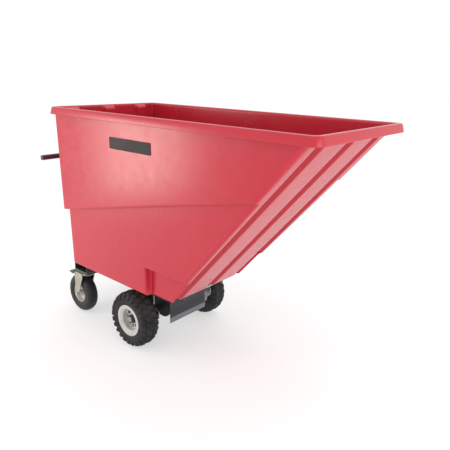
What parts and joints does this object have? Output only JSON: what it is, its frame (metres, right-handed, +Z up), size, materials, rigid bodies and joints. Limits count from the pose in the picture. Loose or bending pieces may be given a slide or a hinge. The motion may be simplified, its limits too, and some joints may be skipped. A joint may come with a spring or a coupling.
{
  "type": "powered tilt truck",
  "caption": "Open plastic hopper with a long sloping chute front, tipping forward on a motor-driven chassis with rear swivel casters and a push bar.",
  "frame": {"origin": "on the floor under the middle of the truck's bounding box", "axes": "+X towards the chute end along the longest side, +Y to the truck's left, +Z up"},
  "size_m": [1.9605, 0.823, 1.356],
  "materials": {
    "hopper_plastic": "rotationally moulded polyethylene, satin gloss, red right through",
    "label_film": "blank printed label film",
    "frame_paint": "black powder coat",
    "bracket_steel": "cut steel plate, clear zinc",
    "guard_paint": "blue-grey powder coat",
    "cover_plastic": "black moulded sheet, satin",
    "zinc_steel": "yellow-tinged zinc plate",
    "bright_bolts": "zinc-plated fasteners",
    "drive_tyre": "black block-tread rubber",
    "caster_tyre": "black ribbed rubber",
    "wheel_paint": "silver paint, semi-gloss",
    "hub_iron": "dark cast iron, oiled",
    "shaft_steel": "turned steel",
    "gear_steel": "hardened gear steel, oiled",
    "gearbox_cast": "as-cast aluminium",
    "motor_paint": "black enamel",
    "battery_case": "ribbed battery case",
    "terminal_lead": "brass posts",
    "controller_case": "black anodised, finned",
    "handle_paint": "black powder coat",
    "grip_rubber": "dark maroon-black rubber, semi-gloss",
    "console_plastic": "black textured plastic",
    "stop_red": "red button",
    "key_metal": "plated key and barrel",
    "gauge_lens": "dark smoked display lens",
    "rocker_plastic": "black rocker",
    "pedal_paint": "dark green-black paint"
  },
  "bodies": {
    "chassis": {"frame_rail_left": "frame_paint", "frame_rail_right": "frame_paint", "rear_cross_beam": "frame_paint", "front_cross_beam": "frame_paint", "frame_pivot_lugs": "frame_paint", "pivot_pin": "bright_bolts", "pivot_pin_rings": "bright_bolts", "axle_bracket_left": "bracket_steel", "axle_bracket_right": "bracket_steel", "gearbox_half_left": "gearbox_cast", "gearbox_half_right": "gearbox_cast", "axle_tubes": "frame_paint", "drive_motor": "motor_paint", "drive_cover": "cover_plastic", "front_guard_plate": "guard_paint", "battery_tray": "frame_paint", "batteries": "battery_case", "battery_terminals": "terminal_lead", "motor_controller": "controller_case", "caster_bolts": "bright_bolts", "caster_plate_left": "pedal_paint", "caster_plate_right": "pedal_paint", "handle_upright_left": "handle_paint", "handle_upright_right": "handle_paint", "handlebar": "handle_paint", "grip_left": "grip_rubber", "control_box": "console_plastic", "battery_gauge": "gauge_lens"},
    "hopper": {"hopper_tub": "hopper_plastic", "hopper_mount_plate": "frame_paint", "hopper_pivot_ears": "frame_paint", "hopper_floor_bolts": "bright_bolts", "side_labels": "label_film"},
    "final_gear": {"drive_gear": "gear_steel"},
    "motor_rotor": {"motor_pinion": "gear_steel"},
    "throttle": {"throttle_grip": "grip_rubber"},
    "stop": {"stop_button": "stop_red"},
    "key": {"key_switch": "key_metal"},
    "rocker": {"direction_rocker": "rocker_plastic"},
    "drive_wheel_left": {"drive_tyre_left": "drive_tyre", "drive_rim_left": "wheel_paint", "drive_hub_left": "hub_iron", "wheel_nuts_left": "bright_bolts", "axle_shaft_left": "shaft_steel"},
    "caster_swivel_left": {"caster_fork_left": "zinc_steel", "caster_axle_bolt_left": "bright_bolts"},
    "caster_wheel_left": {"caster_tyre_left": "caster_tyre", "caster_rim_left": "wheel_paint"},
    "brake_left": {"brake_pedal_left": "pedal_paint"},
    "drive_wheel_right": {"drive_tyre_right": "drive_tyre", "drive_rim_right": "wheel_paint", "drive_hub_right": "hub_iron", "wheel_nuts_right": "bright_bolts", "axle_shaft_right": "shaft_steel"},
    "caster_swivel_right": {"caster_fork_right": "zinc_steel", "caster_axle_bolt_right": "bright_bolts"},
    "caster_wheel_right": {"caster_tyre_right": "caster_tyre", "caster_rim_right": "wheel_paint"},
    "brake_right": {"brake_pedal_right": "pedal_paint"}
  },
  "joints": [
    {"name": "hopper_tilt", "type": "hinge", "parent": "chassis", "child": "hopper", "pos_m": [0.024, 0, 0.335], "axis": [0, 1, 0], "range_deg": [0, 55]},
    {"name": "final_gear_spin", "type": "hinge", "parent": "chassis", "child": "final_gear", "pos_m": [-0.238, 0, 0.165], "axis": [0, 1, 0], "continuous": true},
    {"name": "motor_spin", "type": "hinge", "parent": "chassis", "child": "motor_rotor", "pos_m": [-0.27679, 0, 0.21465], "axis": [0, 1, 0], "continuous": true},
    {"name": "throttle_twist", "type": "hinge", "parent": "chassis", "child": "throttle", "pos_m": [-0.963, -0.34, 1.035], "axis": [0, -1, 0], "range_deg": [0, 60], "stiffness_Nm_per_rad": 0.3},
    {"name": "stop_button_press", "type": "slide", "parent": "chassis", "child": "stop", "axis": [0.5299, 0, -0.848], "range_m": [0, 0.005]},
    {"name": "key_turn", "type": "hinge", "parent": "chassis", "child": "key", "pos_m": [-0.893, -0.072, 1.065], "axis": [-0.5299, 0, 0.848], "range_deg": [-90, 0]},
    {"name": "rocker_tilt", "type": "hinge", "parent": "chassis", "child": "rocker", "pos_m": [-0.893, -0.038, 1.065], "axis": [0, 1, 0], "range_deg": [-9, 9]},
    {"name": "drive_wheel_left_spin", "type": "hinge", "parent": "chassis", "child": "drive_wheel_left", "pos_m": [-0.238, 0.288, 0.165], "axis": [0, 1, 0], "continuous": true},
    {"name": "caster_left_swivel", "type": "hinge", "parent": "chassis", "child": "caster_swivel_left", "pos_m": [-0.768, 0.245, 0.28], "axis": [0, 0, 1], "continuous": true},
    {"name": "caster_left_spin", "type": "hinge", "parent": "caster_swivel_left", "child": "caster_wheel_left", "pos_m": [-0.83, 0.245, 0.127], "axis": [0, 1, 0], "continuous": true},
    {"name": "brake_left_press", "type": "hinge", "parent": "caster_swivel_left", "child": "brake_left", "pos_m": [-0.838, 0.245, 0.2667], "axis": [0, -1, 0], "range_deg": [0, 6]},
    {"name": "drive_wheel_right_spin", "type": "hinge", "parent": "chassis", "child": "drive_wheel_right", "pos_m": [-0.238, -0.288, 0.165], "axis": [0, 1, 0], "continuous": true},
    {"name": "caster_right_swivel", "type": "hinge", "parent": "chassis", "child": "caster_swivel_right", "pos_m": [-0.768, -0.245, 0.28], "axis": [0, 0, 1], "continuous": true},
    {"name": "caster_right_spin", "type": "hinge", "parent": "caster_swivel_right", "child": "caster_wheel_right", "pos_m": [-0.83, -0.245, 0.127], "axis": [0, 1, 0], "continuous": true},
    {"name": "brake_right_press", "type": "hinge", "parent": "caster_swivel_right", "child": "brake_right", "pos_m": [-0.838, -0.245, 0.2667], "axis": [0, -1, 0], "range_deg": [0, 6]}
  ],
  "couplings": [
    {"joint": "motor_spin", "follows": "final_gear_spin", "ratio": -2.5}
  ]
}
